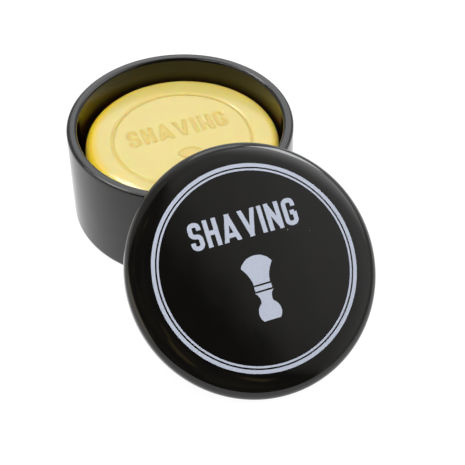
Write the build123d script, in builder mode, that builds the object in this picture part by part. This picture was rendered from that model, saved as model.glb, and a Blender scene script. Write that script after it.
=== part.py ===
from build123d import *
import os
from math import cos, radians, sin

# Shaving soap in a lidded ceramic bowl: the lid leans on the bowl's rim with its lower edge on the table.
# The origin is the centre of the bowl's foot, +Z is up, and the lid leans out towards -Y.

# Bowl
BOWL_HEIGHT = 48.0
RIM_RADIUS = 50.0
BASE_RADIUS = 51.8
RIM_WALL = 4.4
INNER_FLOOR_RADIUS = 45.0
FLOOR_HEIGHT = 8.0
RIM_OUTER_ROUND = 1.0
RIM_INNER_ROUND = 1.4
BASE_ROUND = 3.0
INNER_CORNER_ROUND = 6.0
FOOT_INNER_RADIUS = 39.0
FOOT_RECESS = 1.5
FOOT_SLOPE = 1.5

# Soap puck
SOAP_RADIUS = 43.8
SOAP_HEIGHT = 29.6
SOAP_OFFSET_X = 0.6
SOAP_OFFSET_Y = 0.3
SOAP_TOP_ROUND = 3.6
SOAP_BASE_ROUND = 6.5
SOAP_RING_RADIUS = 31.5
SOAP_LINE_WIDTH = 1.1
SOAP_IMPRINT_DEPTH = 0.6
SOAP_CAP_HEIGHT = 10.6
SOAP_WORD_LENGTH = 47.0
SOAP_WORD_RISE = 6.4
SOAP_EMBLEM_DROP = 17.8
SOAP_BRUSH_HEIGHT = 21.0
SOAP_TURN = -2.2

# Lid
LID_RADIUS = 51.6
LID_THICKNESS = 8.8
LID_TOP_ROUND = 5.0
LID_UNDER_ROUND = 2.0
LIP_OUTER_RADIUS = 44.8
LIP_WIDTH = 2.5
LIP_DEPTH = 2.0
LIP_ROUND = 0.6
LID_TILT = 35.0

# Print on the lid
PRINT_THICKNESS = 0.08
OUTER_RING_RADIUS = 41.8
OUTER_RING_WIDTH = 1.5
INNER_RING_RADIUS = 39.65
INNER_RING_WIDTH = 0.8
CAP_HEIGHT = 11.2
WORD_LENGTH = 45.5
WORD_RISE = 17.5
EMBLEM_DROP = 8.6
BRUSH_HEIGHT = 26.0
PRINT_TURN = -2.0

# Word and emblem
WORD = "SHAVING"
STROKE_SHARE = 0.165
CURVE_SHARE = 0.42

# Small gap kept where two loose pieces rest on each other
REST_GAP = 0.06

# Capitals: the width of each as a share of its height, then its centre lines in a cell one wide and high.
# Each stroke is (rounded corners or not, points). Straight strokes run past the cell, and are cut level
# with the top and bottom of the word.
UNDER, OVER = -0.15, 1.15
CAPITALS = {
    "S": (0.48, [(True, [(1, 0.74), (1, 1), (0, 1), (0, 0.54), (1, 0.46), (1, 0), (0, 0), (0, 0.26)])]),
    "H": (0.50, [
        (False, [(0, UNDER), (0, OVER)]),
        (False, [(1, UNDER), (1, OVER)]),
        (False, [(0, 0.5), (1, 0.5)]),
    ]),
    "A": (0.62, [
        (False, [(-0.06, UNDER), (0.56, OVER)]),
        (False, [(1.06, UNDER), (0.44, OVER)]),
        (False, [(0.1, 0.17), (0.9, 0.17)]),
    ]),
    "V": (0.62, [(False, [(-0.06, OVER), (0.56, UNDER)]), (False, [(1.06, OVER), (0.44, UNDER)])]),
    "I": (STROKE_SHARE, [(False, [(0.5, UNDER), (0.5, OVER)])]),
    "N": (0.54, [
        (False, [(0, UNDER), (0, OVER)]),
        (False, [(1, UNDER), (1, OVER)]),
        (False, [(0, 1), (1, 0)]),
    ]),
    "G": (0.50, [
        (True, [(1, 0.72), (1, 1), (0, 1), (0, 0), (1, 0), (1, 0.46)]),
        (False, [(0.5, 0.46), (1.0, 0.46)]),
    ]),
}


def draw_word(plane, centre_y, length, height):
    """The word as one flat sketch, centred on the plane's Y axis at centre_y."""
    stroke = height * STROKE_SHARE
    cell_height = height - stroke
    gap = (length - height * sum(CAPITALS[letter][0] for letter in WORD)) / (len(WORD) - 1)
    left = -length / 2
    with BuildSketch(plane) as word:
        for letter in WORD:
            share, strokes = CAPITALS[letter]
            cell_left = left + stroke / 2
            cell_width = height * share - stroke
            for rounded, points in strokes:
                corners = [
                    (cell_left + x * cell_width, centre_y + (y - 0.5) * cell_height) for x, y in points
                ]
                with BuildLine():
                    if rounded:
                        FilletPolyline(*corners, radius=cell_width * CURVE_SHARE)
                    else:
                        Line(*corners)
                trace(line_width=stroke)
            left += height * share + gap
        with Locations((0, centre_y)):
            Rectangle(length + stroke, height, mode=Mode.INTERSECT)
    return word.sketch


def draw_brush(plane, centre_y, height):
    """A plain shaving brush seen from the side: handle, collar and fanned knot, on the plane's Y axis."""
    unit = height / 26

    def at(x, y):
        return (x * unit, centre_y + y * unit - height / 2)

    with BuildSketch(plane) as brush:
        with BuildLine():
            Polyline(at(0, 11.4), at(0, 0), at(3.5, 0))
            ThreePointArc(at(3.5, 0), at(4.7, 3.4), at(2.6, 7.0))
            ThreePointArc(at(2.6, 7.0), at(2.5, 9.2), at(3.9, 11.4))
            Line(at(3.9, 11.4), at(0, 11.4))
        make_face()
        with BuildLine():
            Polyline(at(0, 24.9), at(0, 14.6), at(3.4, 14.6))
            ThreePointArc(at(3.4, 14.6), at(4.4, 18.6), at(6.6, 22.2))
            ThreePointArc(at(6.6, 22.2), at(3.6, 25.2), at(0, 26.0))
            Line(at(0, 26.0), at(0, 24.9))
        make_face()
        with Locations(at(1.8, 13.0)):
            Rectangle(3.6 * unit, 1.8 * unit)
        mirror(about=Plane.YZ)
    return brush.sketch


def draw_ring(plane, radius, width):
    """A flat ring with the given outer radius."""
    with BuildSketch(plane) as ring:
        Circle(radius)
        Circle(radius - width, mode=Mode.SUBTRACT)
    return ring.sketch


# Bowl: a turned, slightly flared wall on a thick floor, standing on a foot ring.
rim_inner_radius = RIM_RADIUS - RIM_WALL
with BuildPart() as bowl:
    with BuildSketch(Plane.XZ):
        with BuildLine():
            FilletPolyline(
                (0, FOOT_RECESS),
                (FOOT_INNER_RADIUS - FOOT_SLOPE, FOOT_RECESS),
                (FOOT_INNER_RADIUS, 0),
                (BASE_RADIUS, 0),
                (RIM_RADIUS, BOWL_HEIGHT),
                (rim_inner_radius, BOWL_HEIGHT),
                (INNER_FLOOR_RADIUS, FLOOR_HEIGHT),
                (0, FLOOR_HEIGHT),
                radius=[0.8, 0.8, BASE_ROUND, RIM_OUTER_ROUND, RIM_INNER_ROUND, INNER_CORNER_ROUND],
            )
            Line((0, FLOOR_HEIGHT), (0, FOOT_RECESS))
        make_face()
    revolve(axis=Axis.Z)

# Soap puck: a pressed cake with a soft upper edge, its top marked with a ring line, the word and the brush.
soap_bottom = FLOOR_HEIGHT + REST_GAP
soap_top = soap_bottom + SOAP_HEIGHT
soap_word_direction = (cos(radians(SOAP_TURN)), sin(radians(SOAP_TURN)), 0)
soap_plane = Plane((SOAP_OFFSET_X, SOAP_OFFSET_Y, soap_top), x_dir=soap_word_direction, z_dir=(0, 0, 1))
soap_axis = Axis((SOAP_OFFSET_X, SOAP_OFFSET_Y, 0), (0, 0, 1))
soap_line = draw_ring(soap_plane, SOAP_RING_RADIUS + SOAP_LINE_WIDTH / 2, SOAP_LINE_WIDTH)
soap_word = draw_word(soap_plane, SOAP_WORD_RISE, SOAP_WORD_LENGTH, SOAP_CAP_HEIGHT)
soap_brush = draw_brush(soap_plane, -SOAP_EMBLEM_DROP, SOAP_BRUSH_HEIGHT)
with BuildPart() as soap_puck:
    with BuildSketch(Plane((SOAP_OFFSET_X, SOAP_OFFSET_Y, soap_bottom), x_dir=(1, 0, 0), z_dir=(0, -1, 0))):
        with BuildLine():
            FilletPolyline(
                (0, 0),
                (SOAP_RADIUS, 0),
                (SOAP_RADIUS, SOAP_HEIGHT),
                (0, SOAP_HEIGHT),
                radius=[SOAP_BASE_ROUND, SOAP_TOP_ROUND],
            )
            Line((0, SOAP_HEIGHT), (0, 0))
        make_face()
    revolve(axis=soap_axis)
    extrude(soap_line, amount=-SOAP_IMPRINT_DEPTH, mode=Mode.SUBTRACT)
    extrude(soap_word, amount=-SOAP_IMPRINT_DEPTH, mode=Mode.SUBTRACT)
    extrude(soap_brush, amount=-SOAP_IMPRINT_DEPTH, mode=Mode.SUBTRACT)

# Lid: a thick disc with a rounded upper edge and a low locating lip under it. Its lower edge touches the
# table, which sets the height of its centre, and its underside rests on the rim, which sets its distance.
sin_tilt = sin(radians(LID_TILT))
cos_tilt = cos(radians(LID_TILT))
lid_centre_z = (
    (LID_RADIUS - LID_UNDER_ROUND) * sin_tilt
    + (LID_THICKNESS - LID_UNDER_ROUND) * cos_tilt
    + LID_UNDER_ROUND
)
rim_round_radius = RIM_RADIUS - RIM_OUTER_ROUND
rim_round_height = BOWL_HEIGHT - RIM_OUTER_ROUND
rim_to_face = RIM_OUTER_ROUND + LID_THICKNESS + REST_GAP
lid_centre_y = -rim_round_radius - (cos_tilt * (rim_round_height - lid_centre_z) + rim_to_face) / sin_tilt
lid_centre = (0, lid_centre_y, lid_centre_z)
lid_normal = (0, -sin_tilt, cos_tilt)
lid_section_plane = Plane(lid_centre, x_dir=(1, 0, 0), z_dir=(0, -cos_tilt, -sin_tilt))
lip_inner_radius = LIP_OUTER_RADIUS - LIP_WIDTH
lip_bottom = -LID_THICKNESS - LIP_DEPTH
with BuildPart() as lid:
    with BuildSketch(lid_section_plane):
        with BuildLine():
            FilletPolyline(
                (0, 0),
                (LID_RADIUS, 0),
                (LID_RADIUS, -LID_THICKNESS),
                (LIP_OUTER_RADIUS, -LID_THICKNESS),
                (LIP_OUTER_RADIUS, lip_bottom),
                (lip_inner_radius, lip_bottom),
                (lip_inner_radius, -LID_THICKNESS),
                (0, -LID_THICKNESS),
                radius=[LID_TOP_ROUND, LID_UNDER_ROUND, LIP_ROUND, LIP_ROUND, LIP_ROUND, LIP_ROUND],
            )
            Line((0, -LID_THICKNESS), (0, 0))
        make_face()
    revolve(axis=Axis(lid_centre, lid_normal))

# Print on the lid's flat face: two rings, the word and the brush, as thin layers of their own.
sin_turn = sin(radians(PRINT_TURN))
word_direction = (cos(radians(PRINT_TURN)), sin_turn * cos_tilt, sin_turn * sin_tilt)
print_plane = Plane(lid_centre, x_dir=word_direction, z_dir=lid_normal)
outer_ring = draw_ring(print_plane, OUTER_RING_RADIUS, OUTER_RING_WIDTH)
inner_ring = draw_ring(print_plane, INNER_RING_RADIUS, INNER_RING_WIDTH)
lid_word = draw_word(print_plane, WORD_RISE, WORD_LENGTH, CAP_HEIGHT)
lid_brush = draw_brush(print_plane, -EMBLEM_DROP, BRUSH_HEIGHT)
with BuildPart() as lid_print_outer_ring:
    extrude(outer_ring, amount=PRINT_THICKNESS)
with BuildPart() as lid_print_inner_ring:
    extrude(inner_ring, amount=PRINT_THICKNESS)
with BuildPart() as lid_print_lettering:
    extrude(lid_word, amount=PRINT_THICKNESS)
with BuildPart() as lid_print_emblem:
    extrude(lid_brush, amount=PRINT_THICKNESS)

pieces = {
    "bowl": bowl,
    "soap_puck": soap_puck,
    "lid": lid,
    "lid_print_outer_ring": lid_print_outer_ring,
    "lid_print_inner_ring": lid_print_inner_ring,
    "lid_print_lettering": lid_print_lettering,
    "lid_print_emblem": lid_print_emblem,
}
os.makedirs("parts", exist_ok=True)
for name, piece in pieces.items():
    piece.part.label = name
    export_step(piece.part, f"parts/{name}.step")
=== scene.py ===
import math

import bmesh
import bpy
import numpy as np
from mathutils import Matrix, Vector, noise
from mathutils.bvhtree import BVHTree


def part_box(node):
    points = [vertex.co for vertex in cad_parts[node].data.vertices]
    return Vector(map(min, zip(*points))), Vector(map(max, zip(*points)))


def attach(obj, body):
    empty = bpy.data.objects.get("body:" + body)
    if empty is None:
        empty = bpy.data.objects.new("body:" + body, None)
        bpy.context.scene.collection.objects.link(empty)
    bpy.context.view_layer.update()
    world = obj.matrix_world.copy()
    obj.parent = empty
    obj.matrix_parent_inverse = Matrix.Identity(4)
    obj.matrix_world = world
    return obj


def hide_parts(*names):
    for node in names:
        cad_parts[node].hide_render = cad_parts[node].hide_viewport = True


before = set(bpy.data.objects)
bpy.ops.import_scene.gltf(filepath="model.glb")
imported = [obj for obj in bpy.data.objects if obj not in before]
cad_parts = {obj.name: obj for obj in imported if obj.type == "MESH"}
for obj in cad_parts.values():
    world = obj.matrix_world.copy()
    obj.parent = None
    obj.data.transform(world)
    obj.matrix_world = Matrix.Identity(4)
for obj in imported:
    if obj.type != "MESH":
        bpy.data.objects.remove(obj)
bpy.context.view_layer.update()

MM = 0.001

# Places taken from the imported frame
bowl_low, bowl_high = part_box("bowl")
soap_low, soap_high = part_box("soap_puck")
ring_low, ring_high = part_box("lid_print_outer_ring")
lid_low, lid_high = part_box("lid")
BOWL_HEIGHT = bowl_high.z
SOAP_CENTRE = (soap_low + soap_high) / 2
SOAP_RADIUS = (soap_high.x - soap_low.x) / 2
SHOULDER_RADIUS = SOAP_RADIUS - 10.5 * MM
LID_RADIUS = (lid_high.x - lid_low.x) / 2
LID_TILT = math.radians(35)
LID_NORMAL = Vector((0, -math.sin(LID_TILT), math.cos(LID_TILT)))
PRINT_THICKNESS = 0.08 * MM
LID_FACE_CENTRE = (ring_low + ring_high) / 2 - LID_NORMAL * PRINT_THICKNESS / 2
LID_TURN = Matrix.Translation(LID_FACE_CENTRE) @ Matrix.Rotation(LID_TILT, 4, "X")


# ---------------------------------------------------------------- outlines

def fillet(before, corner, after, radius, steps):
    """Points of the arc that rounds a corner of an outline."""
    a = (before - corner).normalized()
    b = (after - corner).normalized()
    half = a.angle(b) / 2
    reach = radius / math.tan(half)
    centre = corner + (a + b).normalized() * (radius / math.sin(half))
    start = corner + a * reach - centre
    end = corner + b * reach - centre
    sweep = math.atan2(start.x * end.y - start.y * end.x, start.dot(end))
    return [centre + Matrix.Rotation(sweep * step / steps, 2) @ start for step in range(steps + 1)]


def outline(corners, step):
    """An open outline through (radius, height, rounding) corners in mm, with points at most step mm apart."""
    points = [Vector((x, y)) * MM for x, y, _ in corners]
    rounded = [points[0]]
    for index in range(1, len(corners) - 1):
        rounding = corners[index][2] * MM
        if rounding:
            steps = max(6, math.ceil(rounding / MM * 4))
            rounded += fillet(points[index - 1], points[index], points[index + 1], rounding, steps)
        else:
            rounded.append(points[index])
    rounded.append(points[-1])
    fine = [rounded[0]]
    for a, b in zip(rounded, rounded[1:]):
        parts = max(1, math.ceil((b - a).length / (step * MM)))
        fine += [a.lerp(b, part / parts) for part in range(1, parts + 1)]
    return fine


def turned(name, points, segments):
    """A closed smooth mesh: the outline turned about Z. Its first and last points lie on the axis."""
    mesh = bmesh.new()
    rings = []
    for point in points:
        if point.x < 1e-7:
            rings.append([mesh.verts.new((0, 0, point.y))])
        else:
            angles = [2 * math.pi * index / segments for index in range(segments)]
            places = [(point.x * math.cos(a), point.x * math.sin(a), point.y) for a in angles]
            rings.append([mesh.verts.new(place) for place in places])
    for lower, upper in zip(rings, rings[1:]):
        for index in range(segments):
            after = (index + 1) % segments
            if len(lower) == 1:
                mesh.faces.new((lower[0], upper[after], upper[index]))
            elif len(upper) == 1:
                mesh.faces.new((lower[index], lower[after], upper[0]))
            else:
                mesh.faces.new((lower[index], lower[after], upper[after], upper[index]))
    bmesh.ops.recalc_face_normals(mesh, faces=mesh.faces)
    data = bpy.data.meshes.new(name)
    mesh.to_mesh(data)
    mesh.free()
    data.shade_smooth()
    made = bpy.data.objects.new(name, data)
    bpy.context.scene.collection.objects.link(made)
    return made


def waver(piece, height, scale, seed):
    """Moves each vertex along its normal by a smooth wave, as a poured glaze or a pressed cake has."""
    shift = Vector((seed * 7.3, seed * 3.1, seed * 5.7))
    normals = [vertex.normal.copy() for vertex in piece.data.vertices]
    for vertex, normal in zip(piece.data.vertices, normals):
        vertex.co += normal * (height * noise.noise(vertex.co / scale + shift))


# ---------------------------------------------------------------- materials

class Shader:
    """The shader nodes of a new material, or of a new world when world is true."""

    def __init__(self, name, world=False):
        self.owner = bpy.data.worlds.new(name) if world else bpy.data.materials.new(name)
        self.owner.use_nodes = True
        self.tree = self.owner.node_tree
        self.surface = self.tree.nodes["Background" if world else "Principled BSDF"]
        self.place = self.add("ShaderNodeTexCoord").outputs["Generated" if world else "Object"]

    def add(self, kind, settings=None, inputs=None):
        made = self.tree.nodes.new(kind)
        for key, value in (settings or {}).items():
            setattr(made, key, value)
        for key, value in (inputs or {}).items():
            self.feed(made.inputs[key], value)
        return made

    def feed(self, socket, value):
        if isinstance(value, bpy.types.NodeSocket):
            self.tree.links.new(value, socket)
        else:
            socket.default_value = value

    def set(self, **inputs):
        for key, value in inputs.items():
            self.feed(self.surface.inputs[key.replace("_", " ")], value)

    def noise(self, size, detail=2.0, roughness=0.5):
        """Smooth noise, from 0 to 1, whose lumps are about size mm across."""
        inputs = {"Vector": self.place, "Scale": 1 / (size * MM), "Detail": detail, "Roughness": roughness}
        return self.add("ShaderNodeTexNoise", inputs=inputs).outputs["Fac"]

    def ramp(self, value, low, high, to_low=0.0, to_high=1.0):
        """value, smoothly mapped from low..high to to_low..to_high."""
        inputs = {"Value": value, "From Min": low, "From Max": high, "To Min": to_low, "To Max": to_high}
        settings = {"interpolation_type": "SMOOTHSTEP"}
        return self.add("ShaderNodeMapRange", settings, inputs).outputs["Result"]

    def math(self, operation, a, b=0.0):
        return self.add("ShaderNodeMath", {"operation": operation}, {0: a, 1: b}).outputs["Value"]

    def mix(self, share, a, b):
        """Colour a, or colour b where share is 1."""
        settings = {"data_type": "RGBA"}
        return self.add("ShaderNodeMix", settings, {"Factor": share, "A": a, "B": b}).outputs["Result"]

    def bump(self, height, depth, strength=1.0, under=None):
        inputs = {"Height": height, "Distance": depth * MM, "Strength": strength}
        if under is not None:
            inputs["Normal"] = under
        return self.add("ShaderNodeBump", inputs=inputs).outputs["Normal"]


FLOOR_GLOW = 0.97
BLACK = (0.0034, 0.0032, 0.0029, 1)
BROWN_EDGE = (0.009, 0.0075, 0.0055, 1)
CLAY = (0.085, 0.075, 0.066, 1)
DUST = (0.35, 0.34, 0.32, 1)


def glaze(name, roughness, dusty, bare_below):
    """Black gloss glaze: slightly uneven in tone and gloss, with fine orange peel and rare specks, which
    are dust when dusty is true, and bare fired clay below the height bare_below mm in the piece's frame."""
    s = Shader(name)
    clouds = s.noise(18, 3)
    tone = s.mix(s.ramp(clouds, 0.35, 0.75), BLACK, BROWN_EDGE)
    tone = s.mix(0.75, tone, BLACK)
    height = s.add("ShaderNodeSeparateXYZ", inputs={"Vector": s.place}).outputs["Z"]
    edge_wander = s.math("MULTIPLY", s.noise(3, 2), 0.5 * MM)
    bare = s.ramp(s.math("ADD", height, edge_wander), (bare_below + 0.4) * MM, (bare_below + 0.1) * MM)
    grit = s.mix(s.ramp(s.noise(0.5, 4, 0.7), 0.4, 0.7), CLAY, (0.16, 0.145, 0.13, 1))
    tone = s.mix(bare, tone, grit)
    cells = s.add("ShaderNodeTexVoronoi", inputs={"Vector": s.place, "Scale": 1 / (9 * MM)})
    chance = s.add("ShaderNodeSeparateColor", inputs={"Color": cells.outputs["Color"]}).outputs["Red"]
    picked = s.math("GREATER_THAN", chance, 0.68)
    speck = s.math("MULTIPLY", s.ramp(cells.outputs["Distance"], 0.036, 0.022), picked)
    if dusty:
        tone = s.mix(s.math("MULTIPLY", speck, 0.8), tone, DUST)
    peel = s.noise(1.6, 2)
    drift = s.noise(14, 2)
    bumps = s.bump(drift, 0.05, 0.5)
    bumps = s.bump(peel, 0.004, 0.5, bumps)
    bumps = s.bump(s.math("MULTIPLY", s.noise(0.35, 3), bare), 0.06, 1.0, bumps)
    gloss = s.ramp(s.noise(6, 3), 0.3, 0.7, roughness * 0.8, roughness * 1.25)
    gloss = s.math("ADD", gloss, s.math("MULTIPLY", bare, 0.7))
    gloss = s.math("ADD", gloss, s.math("MULTIPLY", speck, 0.4))
    s.set(Base_Color=tone, Roughness=gloss, IOR=1.52, Normal=bumps)
    return s.owner


def soap():
    """Pressed hard soap: pale yellow, a little translucent, with fine flow marks, with painted shade
    deepening it in its imprint and a painted golden glow of light on its side, most of all at the left."""
    s = Shader("pressed_soap")
    parts = s.add("ShaderNodeSeparateXYZ", inputs={"Vector": s.place})
    dx = s.math("SUBTRACT", parts.outputs["X"], SOAP_CENTRE.x)
    dy = s.math("SUBTRACT", parts.outputs["Y"], SOAP_CENTRE.y)
    out = s.math("SQRT", s.math("ADD", s.math("MULTIPLY", dx, dx), s.math("MULTIPLY", dy, dy)))
    # Painted light: a golden glow painted on the puck's side, reaching further in and stronger at the left,
    # stands in for light through the soap's edge.
    painted_glow_reach = s.math("ADD", out, s.ramp(dx, 0.0, -40 * MM, 0.0, 1.5 * MM))
    painted_side_glow = s.ramp(painted_glow_reach, 0.88 * SOAP_RADIUS, 0.97 * SOAP_RADIUS)
    painted_side_glow = s.math("MULTIPLY", painted_side_glow, s.ramp(dx, 15 * MM, -34 * MM, 0.42, 1.0))
    # Painted shade: the colour is deeper and darker in the imprint's recesses.
    painted_imprint_shade = s.ramp(parts.outputs["Z"], soap_high.z - 0.10 * MM, soap_high.z - 0.38 * MM)
    painted_imprint_shade = s.math("MULTIPLY", painted_imprint_shade, s.math("LESS_THAN", out, SHOULDER_RADIUS))
    mottle = s.ramp(s.noise(9, 4, 0.6), 0.3, 0.7)
    pale = s.mix(mottle, (0.755, 0.620, 0.177, 1), (0.765, 0.630, 0.188, 1))
    tone = s.mix(painted_side_glow, s.mix(painted_imprint_shade, pale, (0.745, 0.555, 0.115, 1)), (0.90, 0.62, 0.035, 1))
    fine = s.bump(s.noise(0.8, 4, 0.6), 0.004, 0.6)
    fine = s.bump(s.noise(6, 2), 0.03, 0.4, fine)
    s.set(
        Base_Color=tone,
        Roughness=s.ramp(s.noise(3, 3), 0.3, 0.7, 0.36, 0.42),
        IOR=1.46,
        Coat_Weight=0.6,
        Coat_Roughness=0.10,
        Subsurface_Weight=0.8,
        Subsurface_Radius=(1.0, 0.62, 0.16),
        Subsurface_Scale=6 * MM,
        Normal=fine,
    )
    return s.owner


def fired_print():
    """Thin pale print fired onto the glaze, slightly uneven in its cover."""
    s = Shader("fired_print")
    cover = s.ramp(s.noise(0.6, 4, 0.6), 0.25, 0.7)
    tone = s.mix(cover, (0.465, 0.505, 0.61, 1), (0.53, 0.57, 0.68, 1))
    s.set(Base_Color=tone, Roughness=0.32, IOR=1.5, Normal=s.bump(s.noise(0.4, 3), 0.01, 0.5))
    return s.owner


def paper_white():
    """The plain pale floor."""
    s = Shader("pale_floor")
    tone = s.mix(s.ramp(s.noise(120, 2), 0.3, 0.7), (0.075, 0.075, 0.075, 1), (0.085, 0.085, 0.085, 1))
    s.set(Base_Color=tone, Roughness=0.9, Emission_Color=(1, 1, 1, 1), Emission_Strength=FLOOR_GLOW)
    return s.owner


# ---------------------------------------------------------------- bowl

BOWL_CORNERS = [
    (0, 1.5, 0),
    (37.5, 1.5, 0.8),
    (39, 0, 0.8),
    (51.8, 0, 3),
    (50, 48, 1),
    (45.6, 48, 1.4),
    (45, 8, 6),
    (0, 8, 0),
]
SEGMENTS = 288

bowl = turned("glazed_bowl", outline(BOWL_CORNERS, 1.5), SEGMENTS)
waver(bowl, 0.03 * MM, 11 * MM, 1)
bowl.data.materials.append(glaze("bowl_glaze", 0.10, False, 0.6))
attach(bowl, "bowl")
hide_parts("bowl")


# ---------------------------------------------------------------- soap

def imprint_map(node, pitch, blur):
    """Heights of a node's upper surface on a square grid, softened over blur mm, as a sampling function."""
    low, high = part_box(node)
    tree = BVHTree.FromObject(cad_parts[node], bpy.context.evaluated_depsgraph_get())
    columns = int((high.x - low.x) / (pitch * MM)) + 1
    rows = int((high.y - low.y) / (pitch * MM)) + 1
    down = Vector((0, 0, -1))
    heights = np.zeros((rows, columns))
    for row in range(rows):
        for column in range(columns):
            eye = Vector((low.x + column * pitch * MM, low.y + row * pitch * MM, high.z + MM))
            hit = tree.ray_cast(eye, down)[0]
            heights[row, column] = min(0.0, hit.z - high.z) if hit else 0.0
    heights[heights < -MM] = 0.0
    reach = math.ceil(3 * blur / pitch)
    kernel = np.exp(-0.5 * (np.arange(-reach, reach + 1) * pitch / blur) ** 2)
    kernel /= kernel.sum()
    for axis in (0, 1):
        heights = np.apply_along_axis(lambda line: np.convolve(line, kernel, "same"), axis, heights)

    def sample(x, y):
        u = min(max((x - low.x) / (pitch * MM), 0), columns - 1.001)
        v = min(max((y - low.y) / (pitch * MM), 0), rows - 1.001)
        i, j = int(v), int(u)
        fv, fu = v - i, u - j
        near = heights[i, j] * (1 - fu) + heights[i, j + 1] * fu
        far = heights[i + 1, j] * (1 - fu) + heights[i + 1, j + 1] * fu
        return near * (1 - fv) + far * fv

    return sample


SOAP_THICKNESS = (soap_high.z - soap_low.z) / MM
SOAP_CORNERS = [
    (0, 0, 0),
    (SOAP_RADIUS / MM, 0, 6.5),
    (SOAP_RADIUS / MM, SOAP_THICKNESS, 3.6),
    (0, SOAP_THICKNESS, 0),
]

soap_cake = turned("pressed_cake", outline(SOAP_CORNERS, 0.3), 720)
soap_cake.data.transform(Matrix.Translation((SOAP_CENTRE.x, SOAP_CENTRE.y, soap_low.z)))
depth_at = imprint_map("soap_puck", 0.2, 0.38)
FLAT_RADIUS = SOAP_RADIUS - 5 * MM
IMPRINT_SHARE = 0.65
WORN_SIDE = Vector((-0.80, -0.60))
WEAR_PER_METRE = 18
for vertex in soap_cake.data.vertices:
    across = math.hypot(vertex.co.x - SOAP_CENTRE.x, vertex.co.y - SOAP_CENTRE.y)
    if vertex.co.z > soap_high.z - 0.01 * MM and across < FLAT_RADIUS:
        vertex.co.z += IMPRINT_SHARE * depth_at(vertex.co.x, vertex.co.y)
    # The shoulder is worn down, most of all in the direction WORN_SIDE.
    towards_worn_side = (vertex.co - SOAP_CENTRE).to_2d().dot(WORN_SIDE) / SOAP_RADIUS
    if vertex.co.z > SOAP_CENTRE.z and across > SHOULDER_RADIUS and towards_worn_side > 0:
        upper_share = (vertex.co.z - SOAP_CENTRE.z) / (soap_high.z - SOAP_CENTRE.z)
        wear = WEAR_PER_METRE * (across - SHOULDER_RADIUS) ** 2
        vertex.co.z -= wear * upper_share * towards_worn_side ** 2
waver(soap_cake, 0.05 * MM, 9 * MM, 2)
soap_cake.data.materials.append(soap())
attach(soap_cake, "soap")
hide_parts("soap_puck")


# ---------------------------------------------------------------- lid

LID_CORNERS = [
    (0, 0, 0),
    (LID_RADIUS / MM, 0, 4.3),
    (LID_RADIUS / MM, -8.8, 2),
    (44.8, -8.8, 0.6),
    (44.8, -10.8, 0.6),
    (42.3, -10.8, 0.6),
    (42.3, -8.8, 0.6),
    (0, -8.8, 0),
]

lid = turned("glazed_lid", outline(LID_CORNERS, 1.5), SEGMENTS)
# The face falls away gently outside the printed rings.
EDGE_FALL_RADIUS = LID_RADIUS - 9 * MM
EDGE_FALL_DEPTH = 6.5 * MM
EDGE_FALL_PER_METRE = 10
for vertex in lid.data.vertices:
    across = math.hypot(vertex.co.x, vertex.co.y)
    if vertex.co.z > -EDGE_FALL_DEPTH and across > EDGE_FALL_RADIUS:
        fall = EDGE_FALL_PER_METRE * (across - EDGE_FALL_RADIUS) ** 2
        vertex.co.z -= fall * (1 + vertex.co.z / EDGE_FALL_DEPTH)
waver(lid, 0.02 * MM, 12 * MM, 3)
lid.matrix_world = LID_TURN
lid.data.materials.append(glaze("lid_glaze", 0.05, True, -10.7))
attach(lid, "lid")
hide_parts("lid")

print_ink = fired_print()
for node in ("lid_print_outer_ring", "lid_print_inner_ring", "lid_print_lettering", "lid_print_emblem"):
    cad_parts[node].data.materials.clear()
    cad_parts[node].data.materials.append(print_ink)


# ---------------------------------------------------------------- floor, light and camera

FLOOR_SIZE = 6
BACKDROP_CORNERS = [(0, -5, 0), (2900, -5, 0), (2900, 2600, 0), (0, 2600, 0)]


def area_light(name, place, target, size, power, colour=(1, 1, 1)):
    """A square soft box at place, facing target."""
    data = bpy.data.lights.new(name, "AREA")
    data.size = size
    data.energy = power
    data.color = colour
    light = bpy.data.objects.new(name, data)
    light.location = place
    light.rotation_euler = (Vector(target) - Vector(place)).to_track_quat("-Z", "Y").to_euler()
    bpy.context.scene.collection.objects.link(light)
    return light


bpy.ops.mesh.primitive_plane_add(size=FLOOR_SIZE)
floor = bpy.context.object
floor.name = "floor"
floor.data.materials.append(paper_white())

# A pale drum round everything, seen only directly: the world behind it makes the reflections.
backdrop = turned("backdrop", outline(BACKDROP_CORNERS, 400), 96)
backdrop.data.materials.append(floor.data.materials[0])
backdrop.visible_diffuse = False
backdrop.visible_glossy = False
backdrop.visible_transmission = False
backdrop.visible_shadow = False

RIGHT_OF_CAMERA = (0.906, 0.423, 0.0)
FRONT_LEFT = (-0.342, -0.940, 0.0)
LEFT = (-1.0, 0.0, 0.0)
BACK = (0.0, 1.0, 0.0)
WINDOW = (0.66, 0.0, 0.751)


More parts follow.
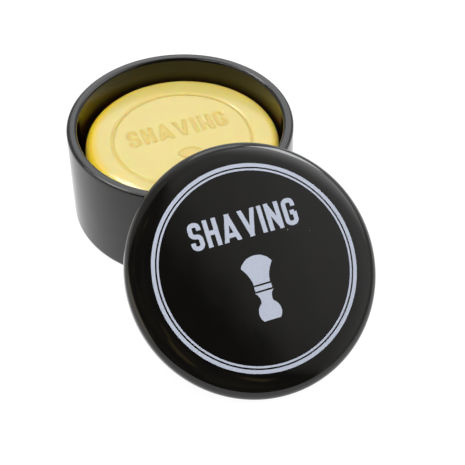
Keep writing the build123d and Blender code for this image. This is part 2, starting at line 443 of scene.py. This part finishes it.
def studio_world():
    """A pale room with a soft window at the right: dim and patchy in front and to the left, with a warm
    pale stretch low at the left. Only highlights show it, because its diffuse light is off."""
    s = Shader("studio", world=True)
    height = s.add("ShaderNodeSeparateXYZ", inputs={"Vector": s.place}).outputs["Z"]
    low = s.ramp(height, 0.46, 0.20)

    def along(direction):
        inputs = {0: s.place, 1: direction}
        return s.add("ShaderNodeVectorMath", {"operation": "DOT_PRODUCT"}, inputs).outputs["Value"]

    lit = s.ramp(along(RIGHT_OF_CAMERA), -0.03, 0.045)
    behind = s.ramp(along(FRONT_LEFT), 0.10, -0.10)
    back_half = s.ramp(along(BACK), -0.3, 0.3)
    pale = s.mix(s.ramp(along(RIGHT_OF_CAMERA), 0.02, 0.26), (0.38, 0.375, 0.36, 1), (0.78, 0.775, 0.77, 1))
    low_in_front = s.math("MULTIPLY", s.ramp(height, 0.60, 0.25), s.ramp(back_half, 0.0, 0.7, 1.0, 0.0))
    pale = s.mix(low_in_front, pale, (0.41, 0.405, 0.39, 1))
    cloud = s.ramp(s.noise(240, 3), 0.35, 0.70)
    dim = s.mix(cloud, (0.030, 0.030, 0.026, 1), (0.11, 0.10, 0.075, 1))
    dim = s.mix(s.ramp(s.noise(130, 1), 0.68, 0.73), dim, (0.40, 0.30, 0.11, 1))
    dim = s.mix(s.math("MULTIPLY", low, s.ramp(along(LEFT), 0.84, 0.95)), dim, (1.5, 1.38, 1.10, 1))
    pale = s.mix(s.math("MULTIPLY", low, s.ramp(along(LEFT), 0.4, 0.6)), pale, (1.0, 0.97, 0.90, 1))
    bright = s.mix(s.math("MULTIPLY", cloud, 0.18), pale, (1, 1, 1, 1))
    tone = s.mix(s.math("MAXIMUM", lit, behind), dim, bright)
    glow = s.ramp(along(WINDOW), 0.885, 0.99, 0.0, 2.2)
    tone = s.add("ShaderNodeVectorMath", {"operation": "ADD"}, {0: tone, 1: glow}).outputs["Vector"]
    s.feed(s.surface.inputs["Color"], tone)
    return s.owner


bpy.context.scene.world = studio_world()
bpy.context.scene.world.cycles_visibility.diffuse = False

MIDDLE = (0, -0.03, 0.03)
COOL_WHITE = (0.93, 0.965, 1.0)


def glint(name, place, size, power, pieces, colour=(1, 1, 1)):
    """A soft box facing the middle that shows only as a highlight, and only on the given pieces."""
    light = area_light(name, place, MIDDLE, size, power, colour)
    light.visible_diffuse = False
    receivers = bpy.data.collections.new(name + "_receivers")
    for piece in pieces:
        receivers.objects.link(piece)
    light.light_linking.receiver_collection = receivers
    return light


glint("window_box", (0.90, 0.42, 0.84), 0.55, 7.0, [lid], COOL_WHITE)

# A long thin strip that draws a line of light along the left of the bowl's rim
STRIP_ALONG = Vector((0.25, -0.83, 0.41))
left_strip = glint("left_strip", (-0.62, 0.26, 1.20), 0.09, 6.5, [bowl])
left_strip.data.shape = "RECTANGLE"
left_strip.data.size_y = 1.2
facing = (left_strip.location - Vector(MIDDLE)).normalized()
sideways = STRIP_ALONG.cross(facing).normalized()
strip_axes = Matrix((sideways, facing.cross(sideways), facing)).transposed()
left_strip.rotation_euler = strip_axes.to_euler()

glint("soap_strip", (-0.01, 0.82, 1.15), 0.16, 1.7, [bowl, soap_cake])
area_light("back_box", (0.42, 1.08, 1.06), MIDDLE, 0.66, 2.2, (0.94, 0.96, 1.0))
overhead_fill = area_light("overhead_fill", (-0.1, -0.2, 1.55), MIDDLE, 1.2, 27.3)
overhead_fill.visible_glossy = False

CAMERA_DISTANCE = 422.3 * MM
CAMERA_AZIMUTH = math.radians(-19.27)
CAMERA_ELEVATION = math.radians(44.38)
CAMERA_PAN = math.radians(3.04)
CAMERA_TILT = math.radians(-2.43)
CAMERA_ROLL = math.radians(-2.76)
CAMERA_LENS = 67.72

camera_data = bpy.data.cameras.new("camera")
camera_data.sensor_width = 36
camera_data.lens = CAMERA_LENS
camera = bpy.data.objects.new("camera", camera_data)
aim = Matrix.Rotation(CAMERA_AZIMUTH, 4, "Z") @ Matrix.Rotation(math.pi / 2 - CAMERA_ELEVATION, 4, "X")
turn = Matrix.Rotation(-CAMERA_PAN, 4, "Y") @ Matrix.Rotation(CAMERA_TILT, 4, "X")
turn = turn @ Matrix.Rotation(CAMERA_ROLL, 4, "Z")
camera.matrix_world = aim @ Matrix.Translation((0, 0, CAMERA_DISTANCE)) @ turn
bpy.context.scene.collection.objects.link(camera)
bpy.context.scene.camera = camera
bpy.context.scene.view_settings.view_transform = "Standard"
